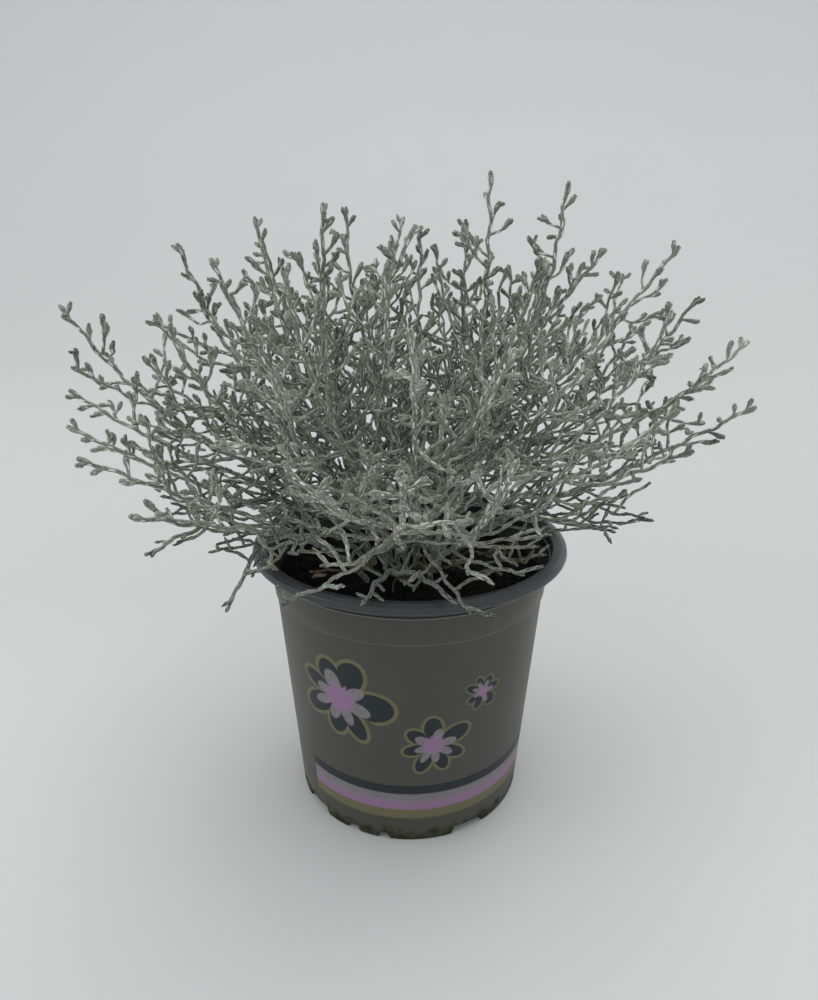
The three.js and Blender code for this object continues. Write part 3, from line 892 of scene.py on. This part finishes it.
# The first half of the outline's limbs each get a leader of their own. The others may be forks of one.
def growOneLimb(thicket, leaders, i, bearing, rise, reach):
    aim = direction(bearing, rise)

    def isNear(leader):
        heading = direction(leader["limbs"][0]["bearing"], leader["limbs"][0]["rise"])
        return len(leader["limbs"]) < 2 and angleBetween(heading, aim) < bush["forkAngle"]
    hosts = [leader for leader in leaders if isNear(leader)] if i >= len(outline) / 2 else []
    for turn in (0, 4, -4, 8, -8):
        if any(growFork(thicket, leader, bearing + turn, rise, reach) for leader in hosts):
            return
        if len(leaders) < bush["leaders"]:
            seed = bush["firstSeed"] + 101 * i
            leader = growLeader(thicket, leaders, bearing + turn, rise, reach, seed, bush["leaderRadius"])
            if leader:
                leaders.append(leader)
                return


def growLimbs(thicket):
    leaders = []
    for i, (bearing, rise, reach) in enumerate(limbAims()):
        growOneLimb(thicket, leaders, i, bearing, rise, reach)
    for i, (bearing, rise, reach) in enumerate(dead):
        seed = 2 * bush["firstSeed"] + 101 * i
        leader = growLeader(thicket, leaders, bearing, rise, reach, seed, bush["deadRadius"])
        if leader:
            leader["dead"] = True
            leaders.append(leader)
    return leaders


def splitLeaders(leaders):
    living = [leader for leader in leaders if not leader["dead"]]
    return living, [leader for leader in leaders if leader["dead"]]


def lengthOf(twig):
    return sum(math.dist(a, b) for a, b in zip(twig["points"], twig["points"][1:]))


def placeOn(twig, at):
    left = at
    points = twig["points"]
    for i in range(1, len(points)):
        length = math.dist(points[i - 1], points[i])
        if left <= length or i == len(points) - 1:
            along = unit(minus(points[i], points[i - 1]))
            return plus(points[i - 1], along, min(left, length)), along
        left -= length


def squareTo(along):
    helper = (1, 0, 0) if abs(along[2]) > 0.9 else (0, 0, 1)
    return unit(cross(along, helper))


def turnAbout(vector, axis, angle):
    c, s = math.cos(angle), math.sin(angle)
    return plus(plus(tuple(v * c for v in vector), cross(axis, vector), s), axis, dot(axis, vector) * (1 - c))


shootForm = {
    "radius": bush["shootRadius"],
    "lean": 50,  # degrees off the parent, give or take half the spread
    "spread": 25,
    "turnUp": 0.4,
    "onward": 0.3,
    "least": 4,
    "fromTip": 3.5,
    "straight": bush["longestStraight"],
    "tries": 8,
    "fullTries": 4,  # after these, the shoot is shortened
    "shortened": 0.6,
    "nextTurn": 0.9,  # radians round the parent from one try to the next
    "level": 1,
    "thickest": 0,
}
twigletForm = {**shootForm, "radius": bush["twigletRadius"], "lean": 60, "least": 3, "level": 2,
               "turnUp": 0.1, "fromTip": 3}


# Grows one side shoot, first turned around its parent and then shortened until it has room.
def growShoot(thicket, parent, at, length, roll, random, form, gap=None):
    point, along = placeOn(parent, at)
    for k in range(form["tries"]):
        lean = math.radians(form["lean"] + form["spread"] * (random() - 0.5))
        side = turnAbout(squareTo(along), along, roll + k * form["nextTurn"])
        out = plus(tuple(c * math.cos(lean) for c in along), side, math.sin(lean))
        reach = length * (1 if k < form["fullTries"] else form["shortened"])
        elbow = plus(point, out, reach * 0.5)
        ahead = unit(plus(plus(out, along, form["onward"]), (0, 0, 1), form["turnUp"]))
        tip = plus(elbow, ahead, reach * 0.5)
        points = [point, elbow, tip] if reach > form["straight"] else [point, tip]
        if reach < form["least"] or out[2] < bush["steepestFall"] or not isOpenPath(points):
            continue
        twig = makeTwig(parent["leader"], points, form["radius"], bush["clubRadius"], form["level"])
        if form["thickest"]:
            twig["thickest"] = form["thickest"]
        if not thicket.hasRoomFor(twig, parent, gap) or (gap is not None and not isAboveCone(points[1:])):
            continue
        twig.update(parent=parent, at=at)
        thicket.add(twig)
        parent["leader"]["twigs"].append(twig)
        return twig
    return None


def growShoots(thicket, leaders):
    shoots = []
    for limb in [limb for leader in leaders for limb in leader["limbs"]]:
        length = lengthOf(limb)
        random = randomFrom(limb["leader"]["seed"] + 31 + limb["leader"]["limbs"].index(limb))
        roll = random() * bush["round"]
        at = length - shootForm["fromTip"]
        while at > length * bush["bareShare"]:
            wanted = bush["shootShare"] * (length - at) * (0.75 + 0.5 * random())
            reach = clamp(wanted, bush["shortestShoot"], bush["longestShoot"])
            shoot = growShoot(thicket, limb, at, reach, roll, random, shootForm)
            if shoot:
                shoots.append(shoot)
            roll += math.radians(bush["goldenAngle"])
            at -= bush["shootSpacing"] * (0.8 + 0.4 * random())
    return shoots


def growTwiglets(thicket, shoots):
    for i, shoot in enumerate(shoots):
        length = lengthOf(shoot)
        random = randomFrom(bush["firstSeed"] + 13 * i)
        roll = random() * bush["round"]
        at = length - twigletForm["fromTip"]
        while at > length * 0.3 and length > bush["shortestHost"]:
            reach = bush["shortestTwiglet"] + 4 * random()
            growShoot(thicket, shoot, at, reach, roll, random, twigletForm)
            roll += math.radians(bush["goldenAngle"])
            at -= bush["twigletSpacing"] * (0.8 + 0.4 * random())


# Finer growth between the shoots and twiglets that the solids have

fine = {
    "shootSpan": (0.16, 0.86),  # shares of a limb's length
    "shortestShoot": 6.0,
    "longestShoot": 42.0,
    "shortest": 2.8,
    "longest": 7.5,
    "shortestHost": 7.5,
    "knobHost": 6.0,
    "rootRoom": 2.4,  # least distance between two twigs on their parent
    "thickest": 0.6,  # what a fine twig takes up while the growth looks for room
    "gap": -0.2,
    "netHeight": 140.0,  # below this, the shoots spread wide and cross like a net
    "netLean": 14,
    "netReach": 1.9,  # how much longer, and further apart, the twiglets of the net are
    "innerZone": 0.70,  # share of the dome's radius with few twiglets and no clubs
    "seed": 20260,
}


def shootReach(left, random):
    return clamp(0.55 * left * (0.6 + 0.7 * random()), fine["shortestShoot"], fine["longestShoot"])


def twigletReach(left, random):
    return clamp(2.4 + 0.36 * left, fine["shortest"], fine["longest"]) * (0.8 + 0.4 * random())


def knobReach(left, random):
    return 2.6 + 0.6 * random()


fineShoot = {**shootForm, "lean": 52, "least": 5, "straight": 7, "tries": 5, "thickest": fine["thickest"],
             "turnUp": 0.3, "spread": 40}
fineTwiglet = {**fineShoot, "lean": 60, "least": 2.2, "tries": 3, "turnUp": 0.15, "level": 2}
knob = {**fineTwiglet, "level": 3, "tries": 2}

# Kinds of finer growth: the turn is in radians from each to the next, and stubs are on dead twigs.
kinds = {
    "shoots": {"form": fineShoot, "spacing": 6.0, "turn": 2.4, "reach": shootReach},
    "twiglets": {"form": fineTwiglet, "spacing": 4.9, "turn": 3.14, "reach": twigletReach},
    "stubs": {"form": fineTwiglet, "spacing": 5.0, "turn": 2.4, "reach": knobReach},
    "knobs": {"form": knob, "spacing": 7.0, "turn": 3.14, "reach": knobReach},
}

# The dome of the whole bush, with its shaded lower part
dome = {
    "halfWidth": 108,
    "halfDepth": 100,
    "foot": 84,
    "height": 122,
    "shadeTop": 128,
    "shadeFade": 20,
    "shade": 0.3,
}


# How far out in the dome a point lies; the low parts count as inner, because they are shaded.
def zoneOf(point):
    x, y, z = point
    up = max(0, z - dome["foot"]) / dome["height"]
    out = math.sqrt((x / dome["halfWidth"]) ** 2 + (y / dome["halfDepth"]) ** 2 + up ** 2)
    return out - dome["shade"] * clamp((dome["shadeTop"] - z) / dome["shadeFade"], 0, 1)


def fillBetween(thicket, twig, kind, span, seed):
    form, length = kind["form"], lengthOf(twig)
    wide = {**form, "lean": form["lean"] + fine["netLean"], "turnUp": form["turnUp"] * 0.3}
    taken = [other["at"] for other in twig["leader"]["twigs"] if other["parent"] is twig]
    random = randomFrom(seed)
    roll = random() * bush["round"]
    at = span[1]
    while at > span[0]:
        reach = kind["reach"](length - at, random)
        place = placeOn(twig, at)[0]
        isInner = zoneOf(place) < fine["innerZone"]
        isSpaced = all(abs(at - other) > fine["rootRoom"] for other in taken)
        stretch = fine["netReach"] if isInner and form["level"] > 1 else 1
        if isSpaced and not (isInner and form["level"] == 3):
            growShoot(thicket, twig, at, reach * stretch, roll, random,
                      wide if place[2] < fine["netHeight"] else form, fine["gap"])
        roll += kind["turn"] + 0.7 * (random() - 0.5)
        at -= kind["spacing"] * (0.7 + 0.6 * random()) * stretch


def growFineTwigs(thicket, leaders):
    living, withered = splitLeaders(leaders)
    seeds = itertools.count(fine["seed"] + 1)
    for limb in [limb for leader in living for limb in leader["limbs"]]:
        span = [lengthOf(limb) * share for share in fine["shootSpan"]]
        fillBetween(thicket, limb, kinds["shoots"], span, next(seeds))
    for leader in living:
        for twig in [t for t in leader["twigs"] if lengthOf(t) > fine["shortestHost"]]:
            foot = lengthOf(twig) * (0.45 if twig["level"] == 0 else 0.2)
            fillBetween(thicket, twig, kinds["twiglets"], (foot, lengthOf(twig) - 2.6), next(seeds))
    for twig in [t for leader in withered for t in leader["twigs"]]:
        span = (lengthOf(twig) * 0.4, lengthOf(twig) - 1)
        fillBetween(thicket, twig, kinds["stubs"], span, next(seeds))
    for leader in living:
        for twig in [t for t in leader["twigs"] if t["level"] == 2 and lengthOf(t) > fine["knobHost"]]:
            fillBetween(thicket, twig, kinds["knobs"], (1.8, lengthOf(twig) - 2.4), next(seeds))


# The grown twigs as smooth paths: points and directions along each, a step at a time

path = {
    "step": 1.4,
    "wiggle": 0.1,
    "kink": 1.2,  # the twigs zigzag: how far from side to side, and how long each leg is
    "kinkEvery": 6.0,
    "kinkFade": 4.0,  # length at either end over which the zigzag fades in
}


def normalized(vectors):
    return vectors / np.linalg.norm(vectors, axis=1)[:, None]


def smoothPath(twig, random):
    points = [np.array(p) for p in twig["points"]]
    if twig["parent"] is not None:
        points[0] = rootOn(twig["parent"], twig["at"])
    ends = [2 * points[0] - points[1]] + points + [2 * points[-1] - points[-2]]
    line, marks, passed = [points[0]], [0.0], 0.0
    for a, b, c, d in zip(ends, ends[1:], ends[2:], ends[3:]):
        length = float(np.linalg.norm(c - b))
        steps = max(2, round(length / path["step"]))
        for i in range(1, steps + 1):
            t = i / steps
            line.append(0.5 * (2 * b + (c - a) * t + (2 * a - 5 * b + 4 * c - d) * t ** 2
                               + (3 * b - a - 3 * c + d) * t ** 3))
            marks.append(passed + length * t)
        passed += length
    line, marks = np.array(line), np.array(marks)
    if len(line) > 3:
        line[1:-1] += path["wiggle"] * random.normal(size=(len(line) - 2, 3))
    aside = np.cross(line[-1] - line[0], random.normal(size=3))
    wave = np.abs((marks / path["kinkEvery"] + 2 * random.random()) % 2 - 1) - 0.5
    wave *= path["kink"] * np.clip(np.minimum(marks, marks[-1] - marks) / path["kinkFade"], 0, 1)
    line += wave[:, None] * aside / np.linalg.norm(aside)
    twig["line"], twig["marks"] = line, marks
    twig["along"] = normalized(np.gradient(line, axis=0))


def rootOn(parent, at):
    return np.array([np.interp(at, parent["marks"], parent["line"][:, c]) for c in range(3)])


print("growing the bush")
thicket = Thicket()
leaders = growLimbs(thicket)
growTwiglets(thicket, growShoots(thicket, leaders))
growFineTwigs(thicket, leaders)
wiggles = np.random.default_rng(fine["seed"])
for leader in leaders:
    for twig in leader["twigs"]:
        smoothPath(twig, wiggles)
print("bush grown:", len(leaders), "leaders,", sum(len(leader["twigs"]) for leader in leaders), "twigs")


# Materials of the twigs. The tone of each leaf picks its colour, from deep green up to silver; the low tones
# also paint the shade that falls on the inner and lower twigs.

felt = {
    "deepShade": (0.042, 0.051, 0.035),
    "green": (0.38, 0.413, 0.345),
    "silver": (0.83, 0.86, 0.81),
    "wood": (0.05, 0.038, 0.02),
    "woodPale": (0.20, 0.165, 0.105),
    "sheen": 0.45,
    "sheenTint": (0.86, 0.90, 0.86, 1),
    "roughness": 0.78,
}


def feltMaterial():
    mat, tree, shader = nodeTree("silverFelt")
    place = objectPlace(tree)
    tone = addNode(tree, "ShaderNodeAttribute", attribute_name="tone").outputs["Fac"]
    cloud = noiseOf(tree, place, 55.0, 2.0)
    hairs = noiseOf(tree, place, 2600.0, 3.0, 0.7)
    mixed = calc(tree, "MULTIPLY_ADD", cloud, 0.34, tone)
    mixed = calc(tree, "MULTIPLY_ADD", hairs, 0.7, mixed)
    mixed = calc(tree, "SUBTRACT", mixed, 0.5)
    colour = ramp(tree, mixed, (0.19, felt["deepShade"]), (0.45, felt["green"]), (0.82, felt["silver"]))
    fill(tree, shader, {"Base Color": colour, "Roughness": felt["roughness"], "Sheen Weight": felt["sheen"],
                        "Sheen Roughness": 0.45, "Sheen Tint": felt["sheenTint"], "Specular IOR Level": 0.25})
    bump(tree, shader, hairs, 0.35, 0.12)
    return mat


def deadWoodMaterial():
    mat, tree, shader = nodeTree("dryWood")
    place = objectPlace(tree)
    tone = addNode(tree, "ShaderNodeAttribute", attribute_name="tone").outputs["Fac"]
    grain = noiseOf(tree, place, 1500.0, 4.0, 0.7)
    mixed = calc(tree, "MULTIPLY_ADD", grain, 0.6, times(tree, tone, 0.5))
    colour = ramp(tree, mixed, (0.25, felt["wood"]), (0.8, felt["woodPale"]))
    fill(tree, shader, {"Base Color": colour, "Roughness": 0.8})
    bump(tree, shader, grain, 0.5, 0.15)
    return mat


# Twigs: a thin core under scale leaves that overlap in a spiral and swell into a club at the tip

twigForm = {
    "limbStart": 0.92,  # radius of the core where a limb leaves the soil
    "limbEnd": 0.54,
    "twigStart": 0.44,
    "twigEnd": 0.38,
    "clubRadius": 0.9,
    "clubLength": 4.6,
    "swollenAfter": 0.55,  # share of the club in which it swells to its full radius
    "coreSides": 1,
    "coreTone": 0.3,
    "deadShare": 0.42,  # how thick a dead twig is beside a live limb
    "leafSpacing": 1.15,
    "clubSpacing": 0.6,
    "leafLength": 2.6,
    "leafWidth": 0.52,
    "leafThick": 0.28,
    "leafTurn": 137.5,
    "bareFoot": 9.0,  # length of a limb's foot that has no leaves
    "lift": 1.0,  # degrees that a leaf leans off the twig
    "twist": 7.0,  # degrees that it winds round the twig
    "leafTone": 0.36,  # how far the tones of leaves on one twig differ
    "clubTone": 0.34,  # how much darker the leaves of a club are
    "edgeTone": 0.3,  # how much paler a leaf's edges are
    "keelTone": 0.14,  # how much darker its middle is
    "seed": 77,
}

# Tones of whole twigs, and how swollen their clubs are, by how far out in the dome the twigs end; the darker
# tones of the inner and low twigs are painted shade
twigTones = {
    "inner": 0.1,
    "outwards": 0.56,
    "start": 0.42,
    "fade": 0.5,
    "spread": 0.24,
    "dead": 0.3,
    "deadSpread": 0.4,
    "clubsInside": 0.06,
    "clubFade": 0.16,
}


def coreRadius(twig, at, length):
    form, left = twigForm, length - at
    if twig["level"] == 0:
        radius = form["limbStart"] + (form["limbEnd"] - form["limbStart"]) * at / length
        radius *= form["deadShare"] if twig["leader"]["dead"] else 1
    else:
        radius = form["twigStart"] + (form["twigEnd"] - form["twigStart"]) * at / length
    club = min(form["clubLength"], 0.7 * length)
    if left < club:
        along = min(1, (1 - left / club) / form["swollenAfter"])
        swelling = along * along * (3 - 2 * along)
        full = form["clubRadius"] * (0.75 + 0.25 * club / form["clubLength"])
        radius += (full - radius) * swelling * twig["clubShare"]
        radius *= math.sqrt(1 - (1 - min(1, (left + 0.1) / 0.8)) ** 2)
    return radius


def coreMesh(leader, name):
    curve = bpy.data.curves.new(name, "CURVE")
    curve.dimensions = "3D"
    curve.bevel_depth = mm
    curve.bevel_resolution = twigForm["coreSides"]
    curve.use_fill_caps = True
    for twig in leader["twigs"]:
        line, length = twig["line"], twig["marks"][-1]
        spline = curve.splines.new("POLY")
        spline.points.add(len(line) - 1)
        places = np.ones((len(line), 4))
        places[:, :3] = line * mm
        spline.points.foreach_set("co", places.ravel())
        spline.points.foreach_set("radius", [coreRadius(twig, at, length) for at in twig["marks"]])
    holder = bpy.data.objects.new(name, curve)
    bpy.context.collection.objects.link(holder)
    mesh = evaluatedMesh(holder)
    bpy.data.objects.remove(holder)
    return mesh


# One scale leaf, one unit long, wide and thick: a narrow blade with its keel outwards
def leafShape():
    bm = bmesh.new()
    bmesh.ops.create_uvsphere(bm, u_segments=4, v_segments=3, radius=0.5)
    for v in bm.verts:
        along = v.co.z + 0.5
        width = 1.15 if along < 0.5 else 0.92
        v.co = (along, v.co.x * width, v.co.y * width)
    points = np.array([v.co[:] for v in bm.verts])
    bmesh.ops.triangulate(bm, faces=bm.faces[:])
    faces = np.array([[v.index for v in f.verts] for f in bm.faces])
    bm.free()
    return points, faces


def leafPlaces(twig, random):
    length = twig["marks"][-1]
    at, places = 0.6 if twig["level"] else twigForm["bareFoot"], []
    club = min(twigForm["clubLength"], 0.6 * length)
    while at < length - 0.5:
        places.append(at)
        spacing = twigForm["clubSpacing"] if length - at < club else twigForm["leafSpacing"]
        at += spacing * (0.8 + 0.4 * random.random())
    return np.array(places)


def alongTwig(twig, ats, key):
    return np.stack([np.interp(ats, twig["marks"], twig[key][:, c]) for c in range(3)], axis=1)


# Leaves on one twig: each lies on the core, winds a little round it, and closes over the tip
def leavesOn(twig, shape, random):
    form = twigForm
    ats = leafPlaces(twig, random)
    length = twig["marks"][-1]
    left = length - ats
    size = 0.85 + 0.3 * random.random(len(ats))
    inClub = np.clip(1.2 - left / form["clubLength"], 0, 1)
    reach = np.minimum(form["leafLength"] * size * (1 - 0.4 * inClub), left + 0.15)
    along = normalized(alongTwig(twig, ats + 0.4 * reach, "along"))
    helper = np.where(np.abs(along[:, 2:3]) > 0.9, [[1.0, 0, 0]], [[0, 0, 1.0]])
    square = normalized(np.cross(along, helper))
    turn = np.radians(form["leafTurn"]) * np.arange(len(ats)) + bush["round"] * random.random()
    outward = square * np.cos(turn)[:, None] + np.cross(along, square) * np.sin(turn)[:, None]
    start = np.array([coreRadius(twig, at, length) for at in ats])
    end = np.array([coreRadius(twig, at, length) for at in np.minimum(ats + reach, length - 0.05)])
    lean = np.arctan2(end - start, reach) + np.radians(form["lift"]) * (0.2 + 1.6 * random.random(len(ats)))
    axis = along * np.cos(lean)[:, None] + outward * np.sin(lean)[:, None]
    normal = outward * np.cos(lean)[:, None] - along * np.sin(lean)[:, None]
    side = np.cross(normal, axis)
    wind = np.radians(form["twist"]) * (0.5 + random.random(len(ats)))[:, None]
    axis, side = axis * np.cos(wind) + side * np.sin(wind), side * np.cos(wind) - axis * np.sin(wind)
    place = alongTwig(twig, ats, "line") + outward * (start * 0.9)[:, None]
    scale = (reach / form["leafLength"]) ** 0.4
    width, thick = form["leafWidth"] * scale * (1 + 0.35 * inClub), form["leafThick"] * scale
    leaf = sum(shape[None, :, c:c + 1] * (way * size[:, None])[:, None, :]
               for c, way, size in ((0, axis, reach), (1, side, width), (2, normal, thick)))
    own = twig["tone"] + form["leafTone"] * (random.random(len(ats)) - 0.5) - form["clubTone"] * inClub
    edge = form["edgeTone"] * (np.abs(shape[:, 1]) > 0.3) - form["keelTone"]
    return place[:, None, :] + leaf, own[:, None] + edge[None, :]


def leavesOf(leader, random):
    shape, faces = leafShape()
    points, tones = [], []
    for twig in leader["twigs"]:
        if twig["marks"][-1] > 1.5:
            leaves, shades = leavesOn(twig, shape, random)
            points.append(leaves.reshape(-1, 3))
            tones.append(shades.ravel())
    points, tones = np.concatenate(points), np.concatenate(tones)
    starts = np.arange(0, len(points), len(shape))
    return points, (faces[None, :, :] + starts[:, None, None]).reshape(-1, 3), tones


def setTones(mesh, tones):
    mesh.attributes.new("tone", "FLOAT", "POINT").data.foreach_set("value", tones.astype(np.float32))


def leafMesh(name, points, faces, tones):
    mesh = bpy.data.meshes.new(name)
    mesh.from_pydata((points * mm).tolist(), [], faces.tolist())
    setTones(mesh, tones)
    return mesh


def joinMeshes(name, meshes, material):
    pieces = []
    for mesh in meshes:
        mesh.materials.clear()
        mesh.materials.append(material)
        piece = bpy.data.objects.new(name, mesh)
        bpy.context.collection.objects.link(piece)
        pieces.append(piece)
    with bpy.context.temp_override(active_object=pieces[0], selected_editable_objects=pieces):
        bpy.ops.object.join()
    pieces[0].data.shade_smooth()
    return pieces[0]


def buildStem(leader, node, name, material, random):
    core = coreMesh(leader, name + "Core")
    setTones(core, np.full(len(core.vertices), twigForm["coreTone"]))
    piece = joinMeshes(name, [core, leafMesh(name + "Leaves", *leavesOf(leader, random))], material)
    piece.name = name
    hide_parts(node)
    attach(piece, "root")
    return sum(len(p.vertices) - 2 for p in piece.data.polygons)


def buildBush(leaders):
    random = np.random.default_rng(twigForm["seed"])
    silverFelt, dryWood = feltMaterial(), deadWoodMaterial()
    living, withered = splitLeaders(leaders)
    tones, total = twigTones, 0
    for i, leader in enumerate(living, 1):
        for twig in leader["twigs"]:
            zone = zoneOf(twig["line"][-1])
            swollen = (zone - fine["innerZone"] + tones["clubsInside"]) / tones["clubFade"]
            twig["clubShare"] = clamp(swollen, 0, 1)
            # Painted shade: twigs that end deep inside or low in the dome get a darker tone, which turns
            # paler towards the outside.
            lessPaintedShade = tones["outwards"] * clamp((zone - tones["start"]) / tones["fade"], 0, 1)
            twig["tone"] = tones["inner"] + lessPaintedShade + tones["spread"] * (random.random() - 0.5)
        total += buildStem(leader, "stem_%02d" % i, "leafyStem%02d" % i, silverFelt, random)
    for i, leader in enumerate(withered, 1):
        for twig in leader["twigs"]:
            twig["clubShare"] = 0
            twig["tone"] = tones["dead"] + tones["deadSpread"] * random.random()
        total += buildStem(leader, "dead_twig_%d" % i, "deadTwig%d" % i, dryWood, random)
    print("bush built:", len(living), "stems,", total, "triangles")


buildBush(leaders)

bpy.context.view_layer.update()
